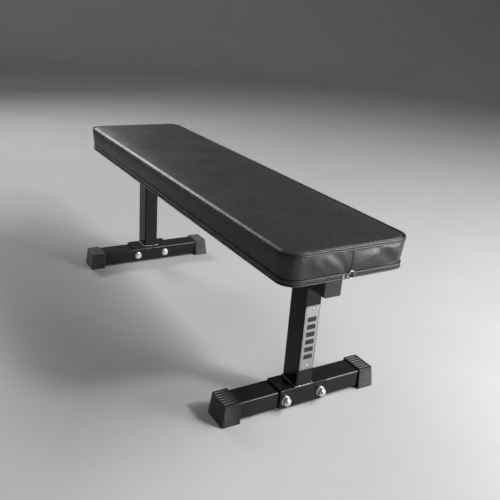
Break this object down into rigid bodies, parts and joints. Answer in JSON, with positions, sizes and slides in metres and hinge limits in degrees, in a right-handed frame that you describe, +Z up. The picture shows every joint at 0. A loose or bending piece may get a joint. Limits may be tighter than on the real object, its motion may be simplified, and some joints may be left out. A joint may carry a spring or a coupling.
{
  "type": "flat weight bench",
  "caption": "Flat fixed weight bench: padded vinyl seat with a zipped cover on a box-section spine, welded uprights and bolted cross feet with ribbed rubber boots.",
  "frame": {"origin": "on the floor under the middle of the bench", "axes": "+X along the bench towards the end with the nameplate and the zip slider, +Y across it, +Z up"},
  "size_m": [1.242, 0.4356, 0.455],
  "materials": {
    "vinyl": "satin",
    "foam": "matte",
    "plywood": "matte",
    "powder_coat": "satin",
    "zinc": "satin",
    "boot_rubber": "matte",
    "cap_plastic": "matte",
    "plate_alloy": "satin",
    "zip_tape": "matte",
    "zip_coil": "satin",
    "zip_metal": "satin"
  },
  "bodies": {
    "frame": {"seat_cover": "vinyl", "top_welt": "vinyl", "seat_foam": "foam", "seat_board": "plywood", "spine_tube": "powder_coat", "front_upright": "powder_coat", "rear_upright": "powder_coat", "front_bracket": "powder_coat", "rear_bracket": "powder_coat", "front_base_tube": "powder_coat", "rear_base_tube": "powder_coat", "seat_plate_front": "powder_coat", "seat_plate_middle": "powder_coat", "seat_plate_rear": "powder_coat", "front_foot_weld": "powder_coat", "rear_foot_weld": "powder_coat", "front_top_weld": "powder_coat", "rear_top_weld": "powder_coat", "seat_plate_welds": "powder_coat", "base_bolts": "zinc", "base_nuts": "zinc", "base_washers": "zinc", "seat_screws": "zinc", "seat_washers": "zinc", "seat_tee_nuts": "zinc", "boot_front_left": "boot_rubber", "boot_front_right": "boot_rubber", "boot_rear_left": "boot_rubber", "boot_rear_right": "boot_rubber", "spine_front_cap": "cap_plastic", "spine_rear_cap": "cap_plastic", "nameplate": "plate_alloy", "nameplate_rivets": "plate_alloy", "zip_tape": "zip_tape", "zip_chain": "zip_coil"},
    "zip_slider": {"zip_slider": "zip_metal"},
    "zip_pull": {"zip_pull": "zip_metal"}
  },
  "joints": [
    {"name": "zip_slide", "type": "slide", "parent": "frame", "child": "zip_slider", "axis": [0, 1, 0], "range_m": [0, 0.1]},
    {"name": "pull_swing", "type": "hinge", "parent": "zip_slider", "child": "zip_pull", "pos_m": [0.6186, -0.0105, 0.386], "axis": [0, 0, -1], "range_deg": [0, 180]}
  ]
}
